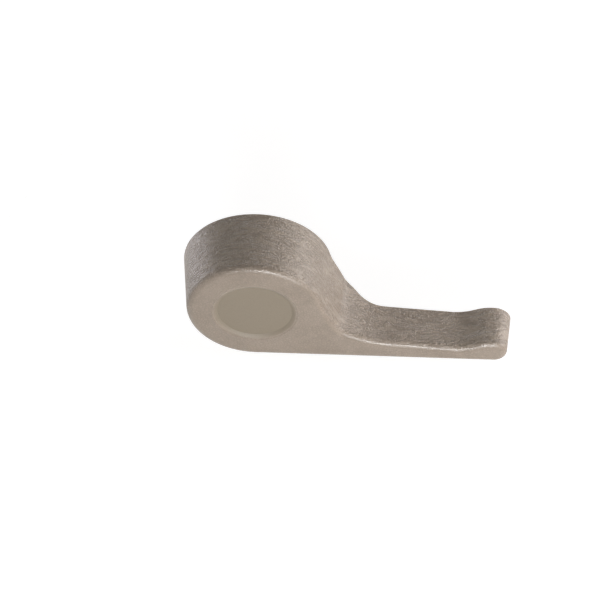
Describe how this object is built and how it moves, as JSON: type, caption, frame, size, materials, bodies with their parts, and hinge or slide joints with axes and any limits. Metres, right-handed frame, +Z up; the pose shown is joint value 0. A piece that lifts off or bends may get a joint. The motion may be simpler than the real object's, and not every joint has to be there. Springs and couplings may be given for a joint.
{
  "type": "car seat recliner lever",
  "caption": "Push-on seat recliner handle: round drafted head with a shallow dished front, S-shaped neck, slim raised-tip arm, ribbed open back and a flatted hub socket.",
  "frame": {"origin": "on the pivot axis, at the mouth of the hub's pilot bore", "axes": "+X along the arm to its tip, +Y along the pivot axis out of the hub into the seat, +Z up in the position of use; the dished front face looks to -Y"},
  "size_m": [0.1423, 0.0281, 0.0639],
  "materials": {
    "moulded_plastic": "fine leather-like grain, low sheen",
    "spring_steel": "plain rolled spring strip"
  },
  "bodies": {
    "root": {"lever_handle": "moulded_plastic", "retaining_clip": "spring_steel"}
  },
  "joints": []
}
